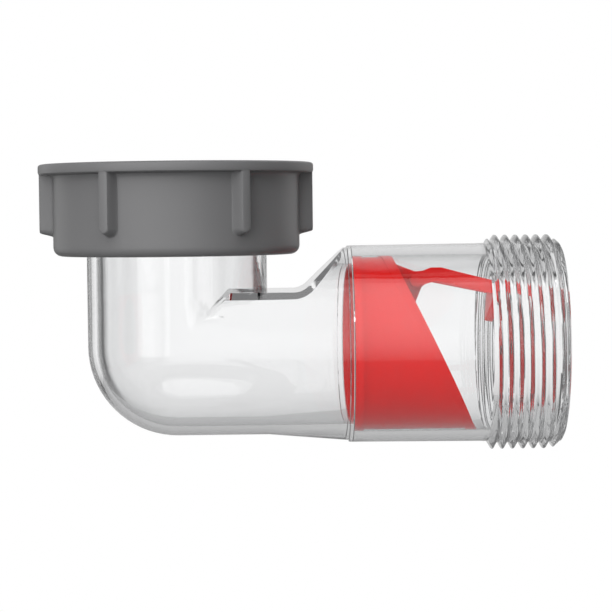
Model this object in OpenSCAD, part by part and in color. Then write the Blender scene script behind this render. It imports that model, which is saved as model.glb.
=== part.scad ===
// Non-return waste elbow: a clear moulded elbow with a union nut on its inlet and, in the wide
// chamber of its outlet, a valve seat cut on a slant whose flap lets waste water out and no air back.
// The origin is the centre of the nut's open end. +Z runs up the inlet, +X out along the outlet.

/* [Pipe thread] */
// Major diameter of the inch-and-a-half pipe thread on the outlet and in the nut
thread_d = 47.8; // [46.5:0.1:49]
// Depth of the thread from crest to root
thread_depth = 1.48; // [1.2:0.01:1.5]
// Radial play between the outlet's size of thread and the nut's
thread_play = 0.1; // [0.05:0.05:0.2]

/* [Union nut] */
// Height of the nut
nut_h = 20.3; // [19.5:0.1:24]
// Wall of the nut outside the thread's root
nut_wall = 3.3; // [2.6:0.1:4.5]
// How far the rim and the grip ribs stand out from the nut's wall
grip_h = 3.2; // [2.2:0.1:4.5]
// Height of the rim at the open end
rim_h = 2.3; // [1.6:0.1:4]
// Number of grip ribs
rib_count = 6; // [4:1:10]
// Width of a grip rib
rib_w = 2.4; // [1.6:0.1:4]
// Length of a grip rib below the rim
rib_l = 13.2; // [9:0.1:14]
// Angle of the first grip rib from the outlet's side
rib_turn = 1.5; // [-30:0.5:30]
// Thickness of the lip that holds the flange
lip_h = 3.0; // [2.4:0.1:4]
// Radius of the nut's lower edge
nut_edge = 2.0; // [0.8:0.1:2.4]
// Height of the chamfer that leads into the thread
lead_in = 0.6; // [0.4:0.1:0.7]

/* [Inlet tube and elbow] */
// Outer diameter of the inlet tube and the elbow
tube_d = 40; // [38:0.1:40.6]
// Wall of the inlet tube and the elbow
wall = 2.0; // [1.8:0.1:3]
// How far the flange stands out from the tube
flange_w = 2.2; // [1.6:0.1:2.3]
// Thickness of the flange
flange_h = 2.5; // [2:0.1:3.2]
// Gap between a moving piece and the piece that it turns on or lies on
turn_gap = 0.25; // [0.15:0.05:0.4]
// Thickness of the sealing washer on the flange
washer_h = 2.6; // [2:0.1:3.2]
// Depth of the outlet's axis below the nut's open end
drop = 40.5; // [39.5:0.1:46]
// Height of the flat under the nut above the outlet's axis
flat_h = 12.1; // [11:0.1:13.5]
// Distance from the inlet's axis to the foot of the ramp behind the flat
ramp_x = 27.6; // [26.5:0.1:28]
// Radius between the flat and the ramp
ramp_r = 4.0; // [2:0.5:6]
// Distance from the inlet's axis to the start of the outlet chamber
neck_l = 37.6; // [37.4:0.1:42]
// Growth of the neck's radius on its way to the chamber
neck_grow = 1.5; // [0.8:0.1:1.8]

/* [Outlet chamber] */
// Outer diameter of the chamber at its inner end
chamber_d = 43.8; // [43.4:0.1:44.2]
// Growth of the chamber's radius on its way to the thread
draft = 0.25; // [0.1:0.05:0.35]
// Wall of the chamber at its inner end
chamber_wall = 2.2; // [1.8:0.1:2.4]
// Distance from the inlet's axis to the end of the outlet
reach = 85; // [83:0.5:95]
// Length of the outlet's thread with its chamfers
thread_l = 16.6; // [13:0.1:17]
// Height of the chamfers at the two ends of the outlet's thread
end_chamfer = 1.1; // [0.6:0.1:1.4]

/* [Valve seat] */
// Radial play of the seat's sleeve in the chamber
seat_play = 0.2; // [0.1:0.05:0.3]
// Wall of the sleeve
sleeve_wall = 2.0; // [1.6:0.1:2.4]
// Lean of the seat's face from upright
seat_lean = 26.5; // [26:0.5:32]
// Distance from the inlet's axis to the middle of the seat's slanted rim
seat_x = 56.6; // [56:0.1:58]
// Width of the raised bands round the ends of the sleeve
band_w = 2.0; // [1.2:0.1:3]
// Height of the raised bands
band_h = 0.3; // [0.2:0.05:0.5]
// Depth of the seat plate below the slanted rim
recess = 3.7; // [3.4:0.1:4.2]
// Thickness of the seat plate
plate_t = 1.8; // [1.4:0.1:2.4]
// Distance from the port's edge to the sleeve's bore
port_gap = 4.0; // [3.5:0.1:6.5]
// Distance of the port's centre down the slant from the sleeve's axis
port_down = 1.5; // [1:0.1:2]
// Height of the raised lip round the port
port_lip_h = 0.7; // [0.5:0.1:1]
// Width of the raised lip round the port
port_lip_w = 0.9; // [0.7:0.1:1.4]

/* [Flap] */
// Overlap of the flap past the port all round
flap_over = 1.5; // [1:0.1:1.8]
// Thickness of the flap
flap_t = 1.5; // [1.2:0.1:1.8]
// Thickness of the flap's rubber seal
seal_t = 1.0; // [0.8:0.1:1.2]
// Diameter of the stud that holds the seal in the flap
stud_d = 3.4; // [2.6:0.1:4.5]
// Diameter of the hinge pin
pin_d = 1.5; // [1.2:0.1:1.7]
// Distance of the hinge pin in from the sleeve's bore
hinge_in = 3.4; // [2.9:0.1:3.7]
// Distance of the hinge pin out from the slanted rim
hinge_out = 2.6; // [2.4:0.1:3.2]
// Wall round the hinge pin
knuckle_wall = 1.2; // [0.8:0.1:1.4]
// Width of the flap's knuckle
knuckle_w = 8.0; // [5:0.1:9]
// Radial play of the hinge pin in the flap's knuckle
pin_play = 0.05; // [0.03:0.01:0.09]
// Thickness of each hinge lug on the seat
lug_t = 1.8; // [1.4:0.1:2.4]

/* [Stop arm] */
// Thickness of each leg of the stop arm
leg_t = 1.8; // [1.4:0.1:2.4]
// Diameter of the pegs that keep the stop arm from turning
peg_d = 1.2; // [0.8:0.1:1.4]
// Distance of the pegs from the hinge pin
peg_x = 2.5; // [2.3:0.1:2.8]
// Depth of the legs
leg_h = 2.7; // [2.2:0.1:3]
// Distance from the hinge pin to the crown of the legs
crown_x = 4.6; // [4:0.1:6]
// Height of the crown's middle over the hinge pin
crown_z = 1.2; // [1:0.1:1.6]
// Slope of the legs behind the crown
leg_slope = 12.5; // [8:0.5:15]
// Distance from the hinge pin to the finger tab
tab_x = 18.6; // [16:0.1:20]
// Thickness of the finger tab
tab_t = 1.7; // [1.2:0.1:2.4]
// Length of the finger tab from the legs' upper edge to its tip
tab_l = 8.6; // [6:0.1:9]

/* [Hidden] */
$fn = 96;
eps = 0.01;
thread_r = thread_d / 2;
root_r = thread_r - thread_depth;
tube_r = tube_d / 2;
bore_r = tube_r - wall;
nut_bore_r = root_r + thread_play;
nut_root_r = thread_r + thread_play;
nut_r = nut_root_r + nut_wall;
grip_r = nut_r + grip_h;
lip_z = lip_h - nut_h;
flange_r = tube_r + flange_w;
flange_z = lip_z + turn_gap;
washer_z = flange_z + flange_h;
thread_z = washer_z + washer_h + turn_gap;
relief_r = flange_r + 4 * turn_gap;
chamber_r = chamber_d / 2;
chamber_bore_r = chamber_r - chamber_wall;
shoulder_x = neck_l + 1;
thread_x = reach - thread_l;
sleeve_r = chamber_bore_r - seat_play;
sleeve_bore_r = sleeve_r - sleeve_wall;
sleeve_x = shoulder_x + turn_gap;
port_r = sleeve_bore_r - port_gap;
flap_r = port_r + flap_over;
seal_z = port_lip_h - recess + turn_gap / 2;
flap_z = seal_z + seal_t;
hinge_up = sleeve_bore_r - hinge_in;
knuckle_r = pin_d / 2 + knuckle_wall;
lug_y = knuckle_w / 2 + turn_gap;
leg_y = lug_y + lug_t + turn_gap;
peg_at = peg_x * [cos(20), sin(20)];
pin_l = 2 * (leg_y + leg_t) - 1.2;

// Places things along the outlet: local z is the outlet's axis from the inlet's axis outwards
module on_outlet() translate([0, 0, -drop]) rotate([0, 90, 0]) children();

// Places things on the slanted rim: local z points out of the seat and local x down the slant
module on_seat() translate([seat_x, 0, -drop]) rotate([0, 90 - seat_lean, 0]) children();

// Places things on the hinge pin's axis, with the axes turned as on_seat() turns them
module on_hinge() on_seat() translate([-hinge_up, 0, hinge_out]) children();

// Places things on the hinge pin's axis with the axes level
module level_on_hinge() on_hinge() rotate([0, seat_lean - 90, 0]) children();

// Extrudes a profile drawn in x and z from y_low to y_high
module across(y_low, y_high) translate([0, y_high, 0]) rotate([90, 0, 0])
    linear_extrude(y_high - y_low) children();

// A flat link with round ends of radius r1 at the origin and r2 at the point q
module link(r1, q, r2) {
    side = [-q[1], q[0]] / norm(q);
    circle(r1);
    translate(q) circle(r2);
    polygon([r1 * side, q + r2 * side, q - r2 * side, -r1 * side]);
}

// The same on both sides of the middle plane
module both_sides(y_low, y_high) {
    across(y_low, y_high) children();
    across(-y_high, -y_low) children();
}

// Room for the nut over the neck: a flat, and a ramp of 45 degrees up to the chamber
module nut_room(inside = 0) {
    top = 2 * tube_r;
    corner_x = ramp_x + inside * tan(22.5);
    corner_z = flat_h - inside;
    r = ramp_r + inside;
    cut = r * tan(22.5);
    translate([0, 0, -drop]) across(-top, top) {
        polygon([[-tube_r, corner_z], [corner_x - cut, corner_z],
            [corner_x + cut * cos(45), corner_z + cut * sin(45)], [corner_x + top, corner_z + top],
            [-tube_r, corner_z + top]]);
        translate([corner_x - cut, corner_z + r]) circle(r + eps);
    }
}

// The round outer corner where the inlet turns into the outlet: a ball whose poles lie in the tubes
module corner(r) translate([0, 0, -drop]) rotate([0, -45, 0]) sphere(r);

module neck_outside() {
    cylinder(r = tube_r, h = tube_r);
    translate([0, 0, tube_r]) cylinder(r1 = tube_r, r2 = tube_r + neck_grow, h = neck_l - tube_r);
}

module chamber_outside() translate([0, 0, neck_l])
    cylinder(r1 = chamber_r, r2 = chamber_r + draft, h = reach - end_chamfer - neck_l);

// The outlet's thread as a plain band at its major diameter, with the chamfers at its two ends
module outlet_thread() translate([0, 0, thread_x]) rotate_extrude()
    polygon([[sleeve_r + 1, 0], [root_r - 0.3, 0], [thread_r, end_chamfer],
        [thread_r, thread_l - end_chamfer], [root_r - 0.2, thread_l], [sleeve_r + 1, thread_l]]);

module clear_body() color([0.93, 0.95, 0.96, 0.4]) difference() {
    union() {
        translate([0, 0, -drop]) cylinder(r = tube_r, h = drop + flange_z + flange_h / 2);
        translate([0, 0, flange_z]) cylinder(r = flange_r, h = flange_h);
        corner(tube_r);
        difference() {
            on_outlet() neck_outside();
            nut_room();
        }
        on_outlet() {
            chamber_outside();
            outlet_thread();
        }
    }
    translate([0, 0, -drop]) cylinder(r = bore_r, h = drop);
    corner(bore_r);
    difference() {
        on_outlet() cylinder(r = bore_r, h = shoulder_x + 1);
        nut_room(wall);
    }
    on_outlet() translate([0, 0, shoulder_x]) cylinder(r = chamber_bore_r, h = reach);
}

// One grip rib on the +X side, with a round lower end and a rounded outer corner
module grip_rib() {
    foot_z = -rim_h - rib_l;
    corner_r = 0.8;
    rib_r = grip_r - 0.15;
    intersection() {
        rotate([90, 0, 90]) linear_extrude(grip_r + 1) {
            translate([-rib_w / 2, foot_z + rib_w / 2]) square([rib_w, rib_l]);
            translate([0, foot_z + rib_w / 2]) circle(rib_w / 2);
        }
        rotate_extrude() {
            translate([nut_r - 1, foot_z + corner_r]) square([rib_r - nut_r + 1, rib_l]);
            translate([nut_r - 1, foot_z]) square([rib_r - nut_r + 1 - corner_r, rib_l]);
            translate([rib_r - corner_r, foot_z + corner_r]) circle(corner_r);
        }
    }
}

module nut_shell() {
    rim_round = 0.6;
    rotate_extrude() difference() {
        union() {
            translate([0, nut_edge - nut_h]) square([nut_r, nut_h - nut_edge - 1]);
            translate([0, -nut_h]) square([nut_r - nut_edge, nut_edge + 1]);
            translate([nut_r - nut_edge, nut_edge - nut_h]) circle(nut_edge);
            translate([0, -rim_h]) square([grip_r, rim_h - rim_round]);
            translate([0, -rim_h]) square([grip_r - rim_round, rim_h]);
            translate([grip_r - rim_round, -rim_round]) circle(rim_round);
        }
        translate([-1, -nut_h - 1]) square([tube_r + turn_gap + 1, nut_h]);
        translate([-1, lip_z]) square([relief_r + 1, thread_z - lip_z]);
        translate([-1, lip_z]) square([nut_bore_r + 1, nut_h]);
        translate([0, -lead_in]) polygon([[0, 0], [nut_bore_r, 0], [nut_bore_r + 2 * lead_in, 2 * lead_in],
            [0, 2 * lead_in]]);
    }
}

module union_nut() color([0.38, 0.38, 0.39]) {
    nut_shell();
    for (i = [0:rib_count - 1]) rotate(rib_turn + 360 * i / rib_count) grip_rib();
}

module sealing_washer() color([0.12, 0.12, 0.13]) translate([0, 0, washer_z]) difference() {
    cylinder(r = flange_r, h = washer_h);
    translate([0, 0, -1]) cylinder(r = bore_r, h = washer_h + 2);
}

// Everything on the inner side of the plane that lies level below the slanted rim
module behind_rim(level = 0) on_seat()
    translate([-chamber_d, -chamber_d, level - 2 * chamber_d]) cube(2 * chamber_d);

// The slanted hollow in front of the seat plate, and the one behind it
module sleeve_hollows() {
    intersection() {
        on_outlet() cylinder(r = sleeve_bore_r, h = reach);
        behind_rim(-recess - plate_t);
    }
    difference() {
        on_outlet() cylinder(r = sleeve_bore_r, h = reach);
        behind_rim(-recess);
    }
}

// Side view of a hinge lug, drawn on the slant with the hinge pin at the origin: it stands on the seat
// plate, leans on the sleeve's wall up to the slanted rim, and ends in a nose for the stop arm's peg
module lug_profile() {
    foot = -hinge_out - recess - plate_t / 2;
    back = hinge_up - (sleeve_bore_r - 0.2) / cos(seat_lean);
    polygon([[back, foot], [-2.1, foot], [knuckle_r * cos(20), -knuckle_r * sin(20)],
        [-knuckle_r * cos(70), knuckle_r * sin(70)], [back, -hinge_out]]);
    rotate(90 - seat_lean) link(knuckle_r, peg_at, peg_d / 2 + 0.7);
}

module valve_seat() color([0.83, 0.13, 0.13]) difference() {
    union() {
        difference() {
            union() {
                intersection() {
                    on_outlet() translate([0, 0, sleeve_x]) cylinder(r = sleeve_r - band_h, h = reach);
                    behind_rim();
                }
                on_outlet() translate([0, 0, sleeve_x]) cylinder(r = sleeve_r, h = band_w);
                difference() {
                    intersection() {
                        on_outlet() translate([0, 0, sleeve_x]) cylinder(r = sleeve_r, h = reach);
                        behind_rim();
                    }
                    behind_rim(-band_w);
                }
            }
            sleeve_hollows();
        }
        on_seat() translate([port_down, 0, -recess - eps])
            cylinder(r = port_r + port_lip_w, h = port_lip_h + eps);
        on_hinge() both_sides(lug_y, lug_y + lug_t) lug_profile();
    }
    level_on_hinge() translate([peg_at[0], 0, peg_at[1]]) rotate([90, 0, 0])
        cylinder(d = peg_d, h = 4 * lug_y, center = true);
    on_seat() translate([port_down, 0, -recess - plate_t - 1])
        cylinder(r = port_r, h = plate_t + port_lip_h + 2);
    on_hinge() rotate([90, 0, 0]) cylinder(d = pin_d, h = 4 * lug_y, center = true);
}

// Side view of the flap's neck, drawn on the slant with the hinge pin at the origin
module neck_profile() {
    foot = flap_z + flap_t - hinge_out - eps;
    top = hinge_up + port_down - flap_r;
    circle(knuckle_r);
    polygon([[top + 0.5, foot], [top + 4.5, foot], [knuckle_r * cos(50), knuckle_r * sin(50)],
        [-knuckle_r * cos(50), -knuckle_r * sin(50)]]);
}

module flap() color([0.86, 0.16, 0.15]) difference() {
    union() {
        on_seat() translate([port_down, 0, flap_z]) cylinder(r = flap_r, h = flap_t);
        on_hinge() across(-knuckle_w / 2, knuckle_w / 2) neck_profile();
    }
    on_seat() translate([port_down, 0, flap_z - 1]) cylinder(d = stud_d, h = flap_t + 2);
    on_hinge() rotate([90, 0, 0])
        cylinder(r = pin_d / 2 + pin_play, h = 2 * knuckle_w, center = true);
}

module flap_seal() color([0.15, 0.15, 0.16]) on_seat() translate([port_down, 0, seal_z]) {
    cylinder(r = flap_r - 0.4, h = seal_t);
    cylinder(d = stud_d, h = seal_t + flap_t + eps);
    translate([0, 0, seal_t + flap_t]) cylinder(r1 = stud_d / 2 + 0.7, r2 = stud_d / 2 - 0.2, h = 1);
}

module hinge_pin() color([0.75, 0.76, 0.78]) on_hinge() rotate([90, 0, 0])
    cylinder(d = pin_d, h = pin_l, center = true);

// Side view of the stop arm's legs, drawn level with the hinge pin at the origin
module leg_profile() {
    half = leg_h / 2;
    end_z = crown_z - (tab_x - crown_x) * tan(leg_slope);
    rise = atan(crown_z / (crown_x - 1.4));
    circle(half);
    polygon([[-half * sin(rise), half * cos(rise)], [half * sin(rise), -half * cos(rise)],
        [crown_x - 0.4, crown_z - half], [tab_x, end_z - half], [tab_x, end_z + half],
        [crown_x + 1, crown_z + half], [crown_x - 1.4, crown_z + half]]);
}

// The finger tab's face: as wide as the legs at the top, with a rounded point at the foot
module tab_profile() {
    w = leg_y + leg_t;
    tip_r = 1.2;
    shoulder = leg_h + 0.4;
    polygon([[-w, 0.3], [w, 0.3], [w, -shoulder], [tip_r, -tab_l + tip_r / 2],
        [-tip_r, -tab_l + tip_r / 2], [-w, -shoulder]]);
    translate([0, -tab_l + tip_r]) circle(tip_r);
}

module stop_arm() color([0.88, 0.2, 0.18]) level_on_hinge() {
    end_z = crown_z - (tab_x - crown_x) * tan(leg_slope);
    difference() {
        union() {
            both_sides(leg_y, leg_y + leg_t) leg_profile();
            both_sides(lug_y + 0.2, leg_y + eps) translate(peg_at) circle(d = peg_d);
        }
        rotate([90, 0, 0]) cylinder(d = pin_d, h = pin_l + 0.2, center = true);
    }
    translate([tab_x - tab_t / 2, 0, end_z + leg_h / 2]) rotate([0, leg_slope, 0]) rotate([90, 0, 90])
        linear_extrude(tab_t) tab_profile();
}

clear_body();
union_nut();
sealing_washer();
valve_seat();
flap();
flap_seal();
hinge_pin();
stop_arm();
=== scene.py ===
# %% [markdown]
# # A clear waste elbow with a grey nut and a red valve inside
# This lesson dresses a imported CAD model. The CAD part gives every size and place, in metres.
# Here the clear body gets its real screw thread, the nut gets soft ribs, and each plastic gets a
# finish made from nodes. The piece is then lit and seen from the side. Lengths are written in
# millimetres, as on a workshop drawing, and MM turns them into Blender's metres.

# %% [markdown]
# ## The imported part
# Everything starts from the CAD nodes, which are already in place.

# %% Load the imported part
import math

import bpy
from mathutils import Matrix, Vector


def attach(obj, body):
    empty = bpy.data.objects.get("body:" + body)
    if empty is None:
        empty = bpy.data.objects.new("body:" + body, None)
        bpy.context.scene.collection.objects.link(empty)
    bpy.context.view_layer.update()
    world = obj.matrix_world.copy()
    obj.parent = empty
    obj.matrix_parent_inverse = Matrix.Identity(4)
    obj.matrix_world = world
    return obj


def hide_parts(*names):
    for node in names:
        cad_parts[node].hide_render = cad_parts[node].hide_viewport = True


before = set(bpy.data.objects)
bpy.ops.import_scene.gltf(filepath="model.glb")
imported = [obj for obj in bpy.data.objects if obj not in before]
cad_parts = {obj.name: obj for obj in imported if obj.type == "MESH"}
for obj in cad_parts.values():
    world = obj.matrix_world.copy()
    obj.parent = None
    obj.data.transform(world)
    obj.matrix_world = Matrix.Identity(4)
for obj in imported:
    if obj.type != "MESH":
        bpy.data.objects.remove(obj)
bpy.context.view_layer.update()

MM = 0.001

# %% [markdown]
# Blender's operators act on all that is selected, and the imported model arrives selected. Two small
# helpers keep that in hand: one clears the selection, and one takes a single piece into hand.

# %% Helpers for taking one piece in hand
def let_go():
    if bpy.context.object and bpy.context.object.mode != "OBJECT":
        bpy.ops.object.mode_set(mode="OBJECT")
    bpy.ops.object.select_all(action="DESELECT")


def take(piece):
    let_go()
    piece.select_set(True)
    bpy.context.view_layer.objects.active = piece


let_go()
print("CAD nodes:", sorted(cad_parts))

# %% [markdown]
# ## Rolling a sheet
# Round plastic parts such as tubes and threads are easiest to shape as a flat sheet that is rolled up.
# A grid is added, and each of its columns is laid along a line that runs down the part. The first and
# the last column meet, so merging doubles closes the seam, and filling the two open ends makes a solid.
# On a thread the last column isn't the first: it lies one turn further on, so such a line brings a
# seam of its own. A spin or a screw modifier could do it too, but a sheet can be shaped freely.

# %% Helper: roll a flat grid into a closed solid
SAME_POINT = 0.002 * MM
NO_LENGTH = 0.0005 * MM


def roll_sheet(name, angles, line_at):
    rows = len(line_at(angles[0]))
    bpy.ops.mesh.primitive_grid_add(x_subdivisions=len(angles), y_subdivisions=rows - 1, size=1)
    piece = bpy.context.object
    piece.name = name
    lines = [line_at(angle) for angle in angles]
    seam = getattr(line_at, "seam", None)
    lines.append(seam() if seam else lines[0])
    for vertex in piece.data.vertices:
        column = round((vertex.co.x + 0.5) * len(angles))
        row = round((vertex.co.y + 0.5) * (rows - 1))
        vertex.co = Vector(lines[column][row]) * MM
    close_solid(piece)
    return piece


def close_solid(piece):
    take(piece)
    bpy.ops.object.mode_set(mode="EDIT")
    bpy.ops.mesh.select_all(action="SELECT")
    bpy.ops.mesh.remove_doubles(threshold=SAME_POINT)
    bpy.ops.mesh.dissolve_degenerate(threshold=NO_LENGTH)
    bpy.ops.mesh.select_all(action="SELECT")
    bpy.ops.mesh.fill_holes(sides=0)
    bpy.ops.mesh.select_all(action="SELECT")
    bpy.ops.mesh.normals_make_consistent(inside=False)
    bpy.ops.object.mode_set(mode="OBJECT")


def even_angles(count):
    return [2 * math.pi * i / count for i in range(count)]


def open_edges(piece):
    uses = {}
    for face in piece.data.polygons:
        for key in face.edge_keys:
            uses[key] = uses.get(key, 0) + 1
    return sum(1 for n in uses.values() if n != 2)


# %% [markdown]
# ## Cutting and smoothing
# A moulding's hollow is the shape of the steel core that it set round, so it is cut with a solid
# of that shape. The exact solver is used, as it also copes with faces that lie in one plane. After each
# cut the edges that don't have two faces are counted, as a solid has none. Shading by angle then keeps
# sharp corners sharp and lets curves run smoothly.

# %% Helpers: cut one solid with another or join them, and shade it
def carve(piece, tool, operation):
    take(piece)
    modifier = piece.modifiers.new("carve", "BOOLEAN")
    modifier.operation = operation
    modifier.solver = "EXACT"
    modifier.object = tool
    bpy.ops.object.modifier_apply(modifier=modifier.name)
    bpy.data.objects.remove(tool, do_unlink=True)
    print(piece.name, operation.lower(), "done:", len(piece.data.polygons), "faces,",
          open_edges(piece), "open edges")


def smooth(piece, degrees=30):
    take(piece)
    bpy.ops.object.shade_smooth_by_angle(angle=math.radians(degrees))


# %% [markdown]
# ## The clear elbow
# The real one is moulded in one shot over a steel core. The outside is a 40 mm tube that turns into a
# round corner, with a mitred inner corner. One sheet can follow all of that: each column runs down
# the tube, round the corner or to the mitre, and out along the neck. The outside grows a little
# towards the chamber, and the bore stays even.

# %% Outside and bore of the elbow
DROP = 40.5
COLUMNS = 144
TUBE_R = 20.0
BORE_R = 18.0
FLARE_FROM = 20.0
FLARE_LENGTH = 17.6


def elbow_line(radius, top, out_to, grow):
    turns = 18

    def line(angle):
        x = radius * math.cos(angle)
        y = radius * math.sin(angle)
        if abs(x) < 1e-6:
            x = 0.0
        points = [(x, y, top)]
        for i in range(turns + 1):
            turn = math.pi / 2 * i / turns
            if x < 0:
                points.append((x * math.cos(turn), y, x * math.sin(turn) - DROP))
            else:
                points.append((x, y, x - DROP))
        for along in (FLARE_FROM, out_to):
            scale = 1 + grow * max(0.0, along - FLARE_FROM) / FLARE_LENGTH / radius
            points.append((max(along, x), y * scale, x * scale - DROP))
        return points

    return line


outside = roll_sheet("elbow_shell", even_angles(COLUMNS),
                     elbow_line(TUBE_R, top=-15.8, out_to=39.0, grow=1.5))
bore = roll_sheet("elbow_bore", even_angles(COLUMNS),
                  elbow_line(BORE_R, top=-10.0, out_to=39.4, grow=0.0))
print("elbow:", open_edges(outside), "and bore:", open_edges(bore), "open edges")

# %% [markdown]
# The nut needs room to drop down the tube, so the neck has a flat with a ramp behind it. The tool for
# the cut is a block with one side leaned to 45 degrees and the edge between them rounded. The tube
# itself isn't to be touched, so the tool first loses the tube's round.

# %% Helper: a block that clears the room under the nut
WALL = 2.0
BLOCK = 30.0
HALF_LEAN = math.tan(math.radians(22.5))


def nut_room(foot_x, floor_z, round_r, tube_r, name):
    bpy.ops.mesh.primitive_cube_add(size=1, location=(0, 0, 0))
    tool = bpy.context.object
    tool.name = name
    for vertex in tool.data.vertices:
        low = vertex.co.z < 0
        left = vertex.co.x < 0
        x = -BLOCK if left else (foot_x if low else foot_x + BLOCK)
        z = floor_z if low else floor_z + BLOCK
        vertex.co = Vector((x, math.copysign(BLOCK, vertex.co.y), z - DROP)) * MM
    take(tool)
    bpy.ops.object.mode_set(mode="EDIT")
    bpy.ops.mesh.select_mode(type="EDGE")
    bpy.ops.mesh.select_all(action="DESELECT")
    bpy.ops.object.mode_set(mode="OBJECT")
    for edge in tool.data.edges:
        ends = [tool.data.vertices[i].co for i in edge.vertices]
        at_foot = all(abs(end.x - foot_x * MM) < 1e-6 for end in ends)
        edge.select = at_foot and all(abs(end.z - (floor_z - DROP) * MM) < 1e-6 for end in ends)
    bpy.ops.object.mode_set(mode="EDIT")
    bpy.ops.mesh.bevel(offset=round_r * HALF_LEAN * MM, segments=10)
    bpy.ops.object.mode_set(mode="OBJECT")
    tube = roll_sheet("tube_left_whole", even_angles(COLUMNS),
                      lambda angle: [(tube_r * math.cos(angle), tube_r * math.sin(angle), z)
                                     for z in (-5.0, -60.0)])
    carve(tool, tube, "DIFFERENCE")
    return tool


RAMP_FOOT = 27.6
FLAT_UP = 12.1
ROUND_R = 4.0
room = nut_room(RAMP_FOOT, FLAT_UP, ROUND_R, TUBE_R, "room_outside")
carve(outside, room, "DIFFERENCE")
room = nut_room(RAMP_FOOT + WALL * HALF_LEAN, FLAT_UP - WALL, ROUND_R + WALL, BORE_R, "room_inside")
carve(bore, room, "DIFFERENCE")

# %% [markdown]
# ## The outlet and its thread
# The outlet carries an inch-and-a-half pipe thread: 2.309 mm from turn to turn and 1.48 mm deep. Its
# rows don't run straight round, they climb by one turn's spacing in each round, so crest and root lie
# along the mesh's own edges and stay crisp. At both ends the rows are held to the chamfer.

# %% Rows of a screw thread
PITCH = 2.309
DEPTH = 1.48
FORM = [(0.0, 0.0), (0.12, 0.03), (0.26, 0.17), (0.577, 0.74), (0.895, 1.31), (1.035, 1.45),
        (PITCH / 2, DEPTH)]
FORM += [(PITCH - at, down) for at, down in FORM[-2:0:-1]]


def thread_rows(angle, start, end, crest_r, start_r, end_r, start_chamfer, end_chamfer):
    first = -3
    count = int((end - start) / PITCH) + 4
    rows = []
    for turn in range(first, count):
        for at, down in FORM:
            along = start + (turn + 0.5 + angle / (2 * math.pi)) * PITCH + at
            held = min(max(along, start), end)
            radius = crest_r - down
            radius = min(radius, start_r + (held - start) * (crest_r - start_r) / start_chamfer)
            radius = min(radius, end_r + (end - held) * (crest_r - end_r) / end_chamfer)
            if along <= start:
                radius = start_r
            if along >= end:
                radius = end_r
            rows.append((radius, held))
    return rows


def threaded_sheet(name, lead, tail, thread, columns):
    def line(angle):
        rows = lead + thread_rows(angle, **thread) + tail
        return [(r * math.cos(angle), r * math.sin(angle), h) for r, h in rows]

    line.seam = lambda: line(2 * math.pi)
    return roll_sheet(name, even_angles(columns), line)


chamber = threaded_sheet(
    "chamber_shell",
    [(21.55, 37.6), (21.75, 37.65), (21.88, 37.8), (21.905, 38.1), (21.95, 45.0), (22.06, 66.5),
     (22.12, 68.2)],
    [(22.1, 84.8), (21.8, 85.0)],
    {"start": 68.4, "end": 84.7, "crest_r": 23.9, "start_r": 22.12, "end_r": 22.3,
     "start_chamfer": 1.1, "end_chamfer": 2.0},
    COLUMNS)
chamber.data.transform(Matrix.Translation((0, 0, -DROP * MM)) @ Matrix.Rotation(math.pi / 2, 4, "Y"))
print("chamber with its thread:", len(chamber.data.polygons), "faces and", open_edges(chamber),
      "open edges")

# %% [markdown]
# The nut pulls on a thin flange near the top of the inlet. It is one more rolled sheet, with its
# corners broken as a mould's would be. The chamber's bore is wider than the neck's, so that the valve
# can be pushed in from the outlet as far as the shoulder. The two bores are joined, and so are the
# outer forms, and then one cut leaves the wall between them.

# %% Flange on the inlet, and the chamber's bore
flange = roll_sheet("flange", even_angles(COLUMNS), lambda angle: [
    (r * math.cos(angle), r * math.sin(angle), z)
    for r, z in ((22.0, -14.55), (22.2, -14.75), (22.2, -16.85), (22.0, -17.05))])
chamber_bore = roll_sheet("chamber_bore", even_angles(COLUMNS), lambda angle: [
    (h, r * math.sin(angle), -r * math.cos(angle) - DROP)
    for r, h in ((19.5, 38.6), (19.7, 38.8), (19.7, 84.6), (20.1, 85.05), (20.1, 86.0))])
carve(bore, chamber_bore, "UNION")
carve(outside, flange, "UNION")
carve(outside, chamber, "UNION")
carve(outside, bore, "DIFFERENCE")
clear_elbow = outside
clear_elbow.name = "clear_elbow"
smooth(clear_elbow, 28)
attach(clear_elbow, "elbow")
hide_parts("clear_body")
print("clear elbow:", len(clear_elbow.data.polygons), "faces,", open_edges(clear_elbow), "open edges")

# %% [markdown]
# ## The union nut
# The nut is a thick grey moulding. Six ribs under its rim give a grip. Where a rib meets the wall the
# mould has a soft fillet, so the ribs aren't blocks pushed on: the sheet's radius swells smoothly at
# each rib. The columns are closer together at the ribs, where the shape changes fast.

# %% Outside of the nut, with its ribs
NUT_R = 27.3
RIM_R = 30.5
RIB_R = RIM_R - 0.15
NUT_H = 20.3
RIM_H = 2.3
FOOT_ROUND = 2.0
RIB_FOOT = -15.5
RIB_HALF = 1.25
RIB_TURN = math.radians(1.5)
SECTOR = math.pi / 3


def soft_step(value, low, high):
    t = min(max((value - low) / (high - low), 0.0), 1.0)
    return t * t * (3 - 2 * t)


def rib_swell(angle, z):
    off = (angle - RIB_TURN + SECTOR / 2) % SECTOR - SECTOR / 2
    across = abs(off) * NUT_R
    foot_z = RIB_FOOT + RIB_HALF
    if z < foot_z:
        across = math.hypot(across, z - foot_z)
    body = 1 - soft_step(across, RIB_HALF - 0.42, RIB_HALF + 0.62)
    crown = 1 - 0.06 * min(across / RIB_HALF, 1.0) ** 2
    return body * crown


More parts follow.
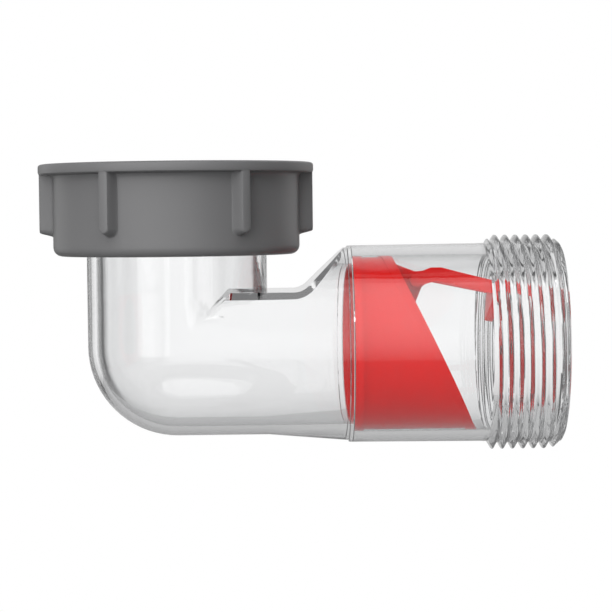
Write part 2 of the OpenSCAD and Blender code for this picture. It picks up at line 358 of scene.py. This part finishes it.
def nut_line(angle):
    points = [(23.0, 0.0), (29.6, 0.0), (30.05, -0.08), (30.38, -0.3), (RIM_R, -0.65),
              (RIM_R, -1.75), (30.42, -2.05), (30.15, -2.26), (29.8, -RIM_H), (28.2, -2.34),
              (27.62, -2.55), (27.36, -2.9)]
    line = []
    for r, z in points:
        reach = r
        if z < -1.9:
            reach = max(r, NUT_R + (RIB_R - NUT_R) * rib_swell(angle, -8.0))
        line.append((reach, z))
    z = -3.3
    while z > RIB_FOOT - 1.2:
        line.append((NUT_R + (RIB_R - NUT_R) * rib_swell(angle, z), z))
        z -= 0.8 if z > -12.5 else 0.16
    round_from = FOOT_ROUND - NUT_H
    line += [(NUT_R, -17.2), (NUT_R, round_from)]
    for i in range(1, 9):
        turn = math.pi / 2 * i / 8
        reach = NUT_R - FOOT_ROUND * (1 - math.cos(turn))
        line.append((reach, round_from - FOOT_ROUND * math.sin(turn)))
    line.append((TUBE_R, -NUT_H))
    return [(r * math.cos(angle), r * math.sin(angle), h) for r, h in line]


FINE_STEP = 0.0056
FINE_COUNT = 16
COARSE_COUNT = 14
fine_reach = FINE_STEP * FINE_COUNT
near = [i * FINE_STEP for i in range(-FINE_COUNT, FINE_COUNT + 1)]
far = [fine_reach + (SECTOR - 2 * fine_reach) * i / COARSE_COUNT for i in range(1, COARSE_COUNT)]
rib_columns = [RIB_TURN + rib * SECTOR + off for rib in range(6) for off in near + far]
nut = roll_sheet("ribbed_nut", rib_columns, nut_line)
print("nut:", len(nut.data.polygons), "faces,", open_edges(nut), "open edges")

# %% [markdown]
# The inside of the nut is cut with a plug that carries the same thread as the outlet, 0.1 mm larger
# all round. Under the thread the plug leaves a relief for the flange and a lip that hangs under it. A
# plug has all of these as its own outside, so one cut makes them all.

# %% Plug that cuts the nut's thread
plug = threaded_sheet(
    "nut_plug",
    [(20.25, -22.0), (20.25, -17.3), (23.2, -17.3), (23.2, -11.9)],
    [(23.75, 0.15), (23.75, 1.0)],
    {"start": -11.7, "end": 0.0, "crest_r": 24.0, "start_r": 23.2, "end_r": 23.15,
     "start_chamfer": 0.9, "end_chamfer": 0.9},
    COLUMNS)
carve(nut, plug, "DIFFERENCE")
smooth(nut, 32)
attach(nut, "nut")
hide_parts("union_nut")
print("nut with its thread:", len(nut.data.polygons), "faces,", open_edges(nut), "open edges")

# %% [markdown]
# ## The valve
# The red seat, the flap and the stop arm come from the CAD part. A moulding has no knife-sharp edges,
# so a copy of each is merged and its edges are rounded with a small bevel. The CAD nodes themselves
# are left alone, and flat faces that were cut into triangles are put together before the bevel.

# %% Rounded copies of the red mouldings
def rounded_copy(node, name, radius, body, segments=2):
    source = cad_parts[node]
    piece = bpy.data.objects.new(name, source.data.copy())
    piece.data.materials.clear()
    bpy.context.collection.objects.link(piece)
    take(piece)
    bpy.ops.object.mode_set(mode="EDIT")
    bpy.ops.mesh.select_all(action="SELECT")
    bpy.ops.mesh.remove_doubles(threshold=SAME_POINT)
    bpy.ops.mesh.dissolve_limited(angle_limit=math.radians(0.6))
    bpy.ops.object.mode_set(mode="OBJECT")
    bevel = piece.modifiers.new("rounding", "BEVEL")
    bevel.width = radius * MM
    bevel.segments = segments
    bevel.limit_method = "ANGLE"
    bevel.angle_limit = math.radians(35)
    bevel.use_clamp_overlap = True
    bpy.ops.object.modifier_apply(modifier=bevel.name)
    smooth(piece, 40)
    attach(piece, body)
    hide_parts(node)
    print(name, "has", len(piece.data.polygons), "faces and", open_edges(piece), "open edges")
    return piece


seat = rounded_copy("valve_seat", "seat_moulding", 0.14, "elbow")
arm = rounded_copy("stop_arm", "arm_moulding", 0.3, "elbow", 3)
disc = rounded_copy("flap", "flap_moulding", 0.16, "valve_flap")

# %% [markdown]
# ## Finishes
# All the plastics share one effect, the faint unevenness of a moulded skin. It is a node group, made
# once and used in each material with its own values: it gives a mask for colour and roughness and a
# height for the bump.

# %% Node group: moulded skin
def make_skin_group():
    group = bpy.data.node_groups.new("moulded_skin", "ShaderNodeTree")
    group.interface.new_socket("Flow Scale", in_out="INPUT", socket_type="NodeSocketFloat")
    group.interface.new_socket("Grain Scale", in_out="INPUT", socket_type="NodeSocketFloat")
    group.interface.new_socket("Flow", in_out="OUTPUT", socket_type="NodeSocketFloat")
    group.interface.new_socket("Grain", in_out="OUTPUT", socket_type="NodeSocketFloat")
    nodes = group.nodes
    links = group.links
    given = nodes.new("NodeGroupInput")
    result = nodes.new("NodeGroupOutput")
    place = nodes.new("ShaderNodeTexCoord")
    flow = nodes.new("ShaderNodeTexNoise")
    flow.inputs["Detail"].default_value = 2.0
    grain = nodes.new("ShaderNodeTexNoise")
    grain.inputs["Detail"].default_value = 4.0
    links.new(place.outputs["Object"], flow.inputs["Vector"])
    links.new(place.outputs["Object"], grain.inputs["Vector"])
    links.new(given.outputs["Flow Scale"], flow.inputs["Scale"])
    links.new(given.outputs["Grain Scale"], grain.inputs["Scale"])
    links.new(flow.outputs["Fac"], result.inputs["Flow"])
    links.new(grain.outputs["Fac"], result.inputs["Grain"])
    return group


skin_group = make_skin_group()
print("skin group sockets:", [item.name for item in skin_group.interface.items_tree])

# %% [markdown]
# A material then joins the skin to a Principled shader: the flow shifts the colour between two close
# tones and moves the roughness a little, and the grain is a very shallow bump.

# %% Helper: one plastic finish
def plastic(name, tone_a, tone_b, rough_low, rough_high, flow_scale, grain_scale, bump_mm):
    material = bpy.data.materials.new(name)
    material.use_nodes = True
    nodes = material.node_tree.nodes
    links = material.node_tree.links
    shader = nodes["Principled BSDF"]
    skin = nodes.new("ShaderNodeGroup")
    skin.node_tree = skin_group
    skin.inputs["Flow Scale"].default_value = flow_scale
    skin.inputs["Grain Scale"].default_value = grain_scale
    tones = nodes.new("ShaderNodeMix")
    tones.data_type = "RGBA"
    tones.inputs["A"].default_value = tone_a + (1.0,)
    tones.inputs["B"].default_value = tone_b + (1.0,)
    links.new(skin.outputs["Flow"], tones.inputs["Factor"])
    links.new(tones.outputs["Result"], shader.inputs["Base Color"])
    gloss = nodes.new("ShaderNodeMapRange")
    gloss.inputs["To Min"].default_value = rough_low
    gloss.inputs["To Max"].default_value = rough_high
    links.new(skin.outputs["Flow"], gloss.inputs["Value"])
    links.new(gloss.outputs["Result"], shader.inputs["Roughness"])
    bump = nodes.new("ShaderNodeBump")
    bump.inputs["Strength"].default_value = 1.0
    bump.inputs["Distance"].default_value = bump_mm * MM
    links.new(skin.outputs["Grain"], bump.inputs["Height"])
    links.new(bump.outputs["Normal"], shader.inputs["Normal"])
    return material, shader


def dress(piece, material):
    piece.data.materials.clear()
    piece.data.materials.append(material)


# %% [markdown]
# ### Clear plastic
# Polished acrylic lets light through and bends it. Seen edge-on its wall is many times thicker, and
# there its colour is darkened with painted shade: Layer Weight makes the colour fall off towards the
# edge. Two rays get a plainer answer. A shadow ray goes straight through, so that the lamps light the
# valve inside.
# A ray that has turned many times in the wall ends in a painted mid-grey glow, where it would be lost
# as black.

# %% Clear plastic for the elbow
MOST_TURNS = 5.5


def clear_plastic():
    material, shader = plastic("clear_acrylic", (1, 1, 1), (1, 1, 1), 0.0, 0.03, 60.0, 25.0, 0.02)
    nodes = material.node_tree.nodes
    links = material.node_tree.links
    edge = nodes.new("ShaderNodeLayerWeight")
    edge.inputs["Blend"].default_value = 0.5
    # Painted shade: this ramp darkens the clear wall's colour towards its edges as the camera sees
    # them.
    painted_edge_shade = nodes.new("ShaderNodeValToRGB")
    painted_edge_shade.color_ramp.elements[0].position = 0.1
    painted_edge_shade.color_ramp.elements[0].color = (0.93, 0.932, 0.935, 1)
    painted_edge_shade.color_ramp.elements[1].position = 0.97
    painted_edge_shade.color_ramp.elements[1].color = (0.16, 0.16, 0.163, 1)
    middle = painted_edge_shade.color_ramp.elements.new(0.6)
    middle.color = (0.8, 0.805, 0.81, 1)
    links.new(edge.outputs["Facing"], painted_edge_shade.inputs["Fac"])
    links.new(painted_edge_shade.outputs["Color"], shader.inputs["Base Color"])
    shader.inputs["Transmission Weight"].default_value = 1.0
    shader.inputs["Metallic"].default_value = 0.0
    shader.inputs["IOR"].default_value = 1.49
    path = nodes.new("ShaderNodeLightPath")
    lets_light_in = nodes.new("ShaderNodeBsdfTransparent")
    lets_light_in.inputs["Color"].default_value = (0.93, 0.93, 0.935, 1)
    choose = nodes.new("ShaderNodeMixShader")
    links.new(path.outputs["Is Shadow Ray"], choose.inputs["Fac"])
    links.new(shader.outputs[0], choose.inputs[1])
    links.new(lets_light_in.outputs[0], choose.inputs[2])
    trapped = nodes.new("ShaderNodeMath")
    trapped.operation = "GREATER_THAN"
    trapped.inputs[1].default_value = MOST_TURNS
    links.new(path.outputs["Ray Depth"], trapped.inputs[0])
    # Painted glow: a ray trapped in the wall ends in this flat mid grey instead of black.
    painted_trapped_glow = nodes.new("ShaderNodeEmission")
    painted_trapped_glow.inputs["Color"].default_value = (0.2, 0.2, 0.203, 1)
    finish = nodes.new("ShaderNodeMixShader")
    links.new(trapped.outputs[0], finish.inputs["Fac"])
    links.new(choose.outputs[0], finish.inputs[1])
    links.new(painted_trapped_glow.outputs[0], finish.inputs[2])
    links.new(finish.outputs[0], nodes["Material Output"].inputs["Surface"])
    return material


dress(clear_elbow, clear_plastic())
print("clear plastic on", clear_elbow.name)

# %% [markdown]
# ### Grey, red, rubber and steel
# The nut is a satin grey. The valve's seat is a glossy red. Its arm and flap are the same red plastic
# with less gloss, and their tone is a little darker as painted shade. The seal and the washer are matt
# black rubber, and the pin is plain stainless steel. One helper makes them all, so that each differs
# only in its values.

# %% Finishes of the other pieces
grey = plastic("grey_satin", (0.15, 0.15, 0.153), (0.178, 0.178, 0.181), 0.38, 0.5,
               45.0, 2600.0, 0.012)[0]
dress(nut, grey)

red, red_shader = plastic("red_gloss", (0.76, 0.004, 0.004), (0.82, 0.007, 0.006), 0.2, 0.3,
                          70.0, 900.0, 0.006)
red_shader.inputs["Specular IOR Level"].default_value = 0.15
dress(seat, red)

# Painted shade: the arm and flap get a slightly darker copy of the seat's red.
shaded_satin, satin_shader = plastic("red_satin_shaded", (0.7, 0.004, 0.004), (0.76, 0.007, 0.006), 0.3, 0.4,
                              70.0, 900.0, 0.006)
satin_shader.inputs["Specular IOR Level"].default_value = 0.08
for piece in (arm, disc):
    dress(piece, shaded_satin)

rubber = plastic("black_rubber", (0.02, 0.02, 0.021), (0.035, 0.035, 0.036), 0.6, 0.75,
                 80.0, 3500.0, 0.02)[0]
for node in ("sealing_washer", "flap_seal"):
    dress(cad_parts[node], rubber)

steel, steel_shader = plastic("plain_steel", (0.55, 0.56, 0.58), (0.62, 0.63, 0.65), 0.2, 0.34,
                              300.0, 4000.0, 0.004)
steel_shader.inputs["Metallic"].default_value = 1.0
dress(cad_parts["hinge_pin"], steel)
print("materials:", [material.name for material in bpy.data.materials if material.users])

# %% [markdown]
# ## Floor, light and camera
# A catalogue picture shows a piece on white, but a clear piece needs something darker to bend. The
# light path node tells what kind of ray has arrived, so a surface can be white to the camera and less
# so to clear plastic and to gloss. The helper below picks one of four strengths in that way.

# %% Helper: pick a strength by the kind of ray
def by_ray(nodes, links, plain, gloss, clear, camera_value):
    path = nodes.new("ShaderNodeLightPath")
    value = plain
    for ray, strength in (("Is Glossy Ray", gloss), ("Is Transmission Ray", clear),
                          ("Is Camera Ray", camera_value)):
        pick = nodes.new("ShaderNodeMix")
        pick.data_type = "FLOAT"
        links.new(path.outputs[ray], pick.inputs["Factor"])
        for socket, given in ((pick.inputs["A"], value), (pick.inputs["B"], strength)):
            if isinstance(given, (int, float)):
                socket.default_value = given
            else:
                links.new(given, socket)
        value = pick.outputs["Result"]
    return value


# %% [markdown]
# The floor is a plain pale sheet well below the piece. The camera sees it as almost white, and clear
# plastic and gloss see less of its glow, so that they don't turn milky.

# %% The floor
FLOOR_Z = -0.2
FLOOR_R = 0.5
bpy.ops.mesh.primitive_circle_add(vertices=96, radius=FLOOR_R, fill_type="NGON",
                                  location=(0, 0, FLOOR_Z))
floor = bpy.context.object
floor.name = "floor"
floor_paint = bpy.data.materials.new("floor_paint")
floor_paint.use_nodes = True
floor_nodes = floor_paint.node_tree.nodes
floor_links = floor_paint.node_tree.links
floor_shader = floor_nodes["Principled BSDF"]
floor_shader.inputs["Base Color"].default_value = (0.18, 0.18, 0.18, 1)
floor_shader.inputs["Roughness"].default_value = 0.9
floor_shader.inputs["Emission Color"].default_value = (1, 1, 1, 1)
glow = by_ray(floor_nodes, floor_links, plain=0.0, gloss=0.12, clear=0.45, camera_value=0.93)
floor_links.new(glow, floor_shader.inputs["Emission Strength"])
floor.data.materials.append(floor_paint)
print("floor at", FLOOR_Z, "m, radius", FLOOR_R, "m")

# %% [markdown]
# A clear thing in an evenly white room would vanish. So the surroundings that clear plastic sees have
# eight tall white panels with dark gaps between them, which draw the dark lines at its edges, and they
# are a little dimmer far above and below. Gloss sees the same panels, dim in front, where a softbox
# does the work, and bright behind. Matt surfaces get a low even light, and the camera sees white.

# %% The surroundings
PANELS = 8.0
world = bpy.data.worlds.new("studio")
bpy.context.scene.world = world
world.use_nodes = True
world_nodes = world.node_tree.nodes
world_links = world.node_tree.links
world_nodes.clear()
heading = world_nodes.new("ShaderNodeTexCoord")
parts = world_nodes.new("ShaderNodeSeparateXYZ")
world_links.new(heading.outputs["Generated"], parts.inputs[0])


def world_math(operation, first, second=None):
    node = world_nodes.new("ShaderNodeMath")
    node.operation = operation
    for socket, given in zip(node.inputs, (first, second)):
        if isinstance(given, (int, float)):
            socket.default_value = given
        elif given is not None:
            world_links.new(given, socket)
    return node.outputs[0]


def world_ramp(value, low, high, at_low, at_high):
    node = world_nodes.new("ShaderNodeMapRange")
    node.interpolation_type = "SMOOTHSTEP"
    node.inputs["From Min"].default_value = low
    node.inputs["From Max"].default_value = high
    node.inputs["To Min"].default_value = at_low
    node.inputs["To Max"].default_value = at_high
    world_links.new(value, node.inputs["Value"])
    return node.outputs["Result"]


bearing = world_math("ARCTAN2", parts.outputs["X"], parts.outputs["Y"])
stripes = world_math("COSINE", world_math("MULTIPLY", bearing, PANELS))
panels = world_ramp(stripes, -0.95, -0.2, 0.12, 1.0)
height = world_ramp(world_math("ABSOLUTE", parts.outputs["Z"]), 0.25, 0.7, 1.0, 0.7)
below = world_ramp(parts.outputs["Z"], -0.34, -0.06, 0.8, 1.0)
studio = world_math("MULTIPLY", panels, world_math("MULTIPLY", height, below))
behind = world_ramp(parts.outputs["Y"], -0.1, 0.5, 0.12, 0.9)
dim_studio = world_math("MULTIPLY", studio, behind)
sky = world_nodes.new("ShaderNodeBackground")
sky.inputs["Color"].default_value = (1, 1, 1, 1)
strength = by_ray(world_nodes, world_links, plain=0.24, gloss=dim_studio, clear=studio,
                  camera_value=1.0)
world_links.new(strength, sky.inputs["Strength"])
world_end = world_nodes.new("ShaderNodeOutputWorld")
world_links.new(sky.outputs[0], world_end.inputs["Surface"])
print("surroundings:", int(PANELS), "white panels with dark gaps, white to the camera")

# %% [markdown]
# ## Lamps
# Softboxes are flat lamps with a size of their own, and a large one gives soft shadows. The key lamp
# stands at the left, the tall one in front makes the sheen on the round walls, and a weak one behind
# keeps the back from going dark. Only the front one is seen in the gloss.

# %% Softboxes at the left, in front and behind
def softbox(name, place, aim, width, height, power):
    data = bpy.data.lights.new(name, "AREA")
    data.shape = "RECTANGLE"
    data.size = width
    data.size_y = height
    data.energy = power
    lamp = bpy.data.objects.new(name, data)
    bpy.context.collection.objects.link(lamp)
    lamp.location = place
    lamp.rotation_euler = (Vector(aim) - Vector(place)).to_track_quat("-Z", "Y").to_euler()
    return lamp


key = softbox("key_left", (-0.36, -0.6, 0.1), (0.0, 0.0, -0.02), 0.6, 0.6, 2.2)
key.visible_glossy = False
back = softbox("fill_back", (0.3, 0.6, 0.3), (0.03, 0.0, -0.03), 0.7, 0.7, 3.2)
back.visible_glossy = False
back.visible_transmission = False
back.visible_camera = False
front = softbox("front_tall", (-0.1, -0.5, 0.166), (0.03, 0.0, -0.04), 0.8, 2.07, 8.0)
print("lamps:", [lamp.name for lamp in (key, back, front)])

# %% [markdown]
# The front softbox fades towards its lower edge, so that its image in a glossy tube has one crisp edge
# at the top and melts away below. Parametric gives the place across the lamp from 0 to 1, and a smooth
# ramp of it drives the strength.

# %% Fade the front softbox
front.data.use_nodes = True
front_nodes = front.data.node_tree.nodes
front_links = front.data.node_tree.links
across_lamp = front_nodes.new("ShaderNodeNewGeometry")
lamp_parts = front_nodes.new("ShaderNodeSeparateXYZ")
front_links.new(across_lamp.outputs["Parametric"], lamp_parts.inputs[0])
fade = front_nodes.new("ShaderNodeMapRange")
fade.interpolation_type = "SMOOTHSTEP"
fade.inputs["From Min"].default_value = 0.1
fade.inputs["From Max"].default_value = 0.62
fade.inputs["To Min"].default_value = 0.0
fade.inputs["To Max"].default_value = 1.0
front_links.new(lamp_parts.outputs["Y"], fade.inputs["Value"])
front_links.new(fade.outputs["Result"], front_nodes["Emission"].inputs["Strength"])
print("front softbox fades from", fade.inputs["From Max"].default_value, "down to",
      round(fade.inputs["From Min"].default_value, 2))

# %% [markdown]
# The camera's place, turn and focal length come from a fit of the nut's, the thread's and the tube's
# known sizes to where they lie in the photograph.

# %% The camera
FOCAL_PIXELS = 2281.05
PICTURE_PIXELS = 612
CAMERA_PLACE = (0.019742, -0.507891, -0.011378)
camera_data = bpy.data.cameras.new("camera")
camera = bpy.data.objects.new("camera", camera_data)
bpy.context.collection.objects.link(camera)
bpy.context.scene.camera = camera
camera_data.sensor_width = 36.0
camera_data.lens = camera_data.sensor_width * FOCAL_PIXELS / PICTURE_PIXELS
camera_data.clip_start = 0.01
yaw = 0.0174
pitch = -0.0406
roll = -0.0113
ahead = Vector((math.sin(yaw) * math.cos(pitch), math.cos(yaw) * math.cos(pitch), math.sin(pitch)))
level = Vector((math.cos(yaw), -math.sin(yaw), 0))
upright = level.cross(ahead)
right = math.cos(roll) * level + math.sin(roll) * upright
up = math.cos(roll) * upright - math.sin(roll) * level
turn = Matrix((right, up, -ahead)).transposed().to_4x4()
camera.matrix_world = Matrix.Translation(CAMERA_PLACE) @ turn
bpy.context.scene.view_settings.view_transform = "Standard"
print("camera at", [round(v, 4) for v in camera.location])
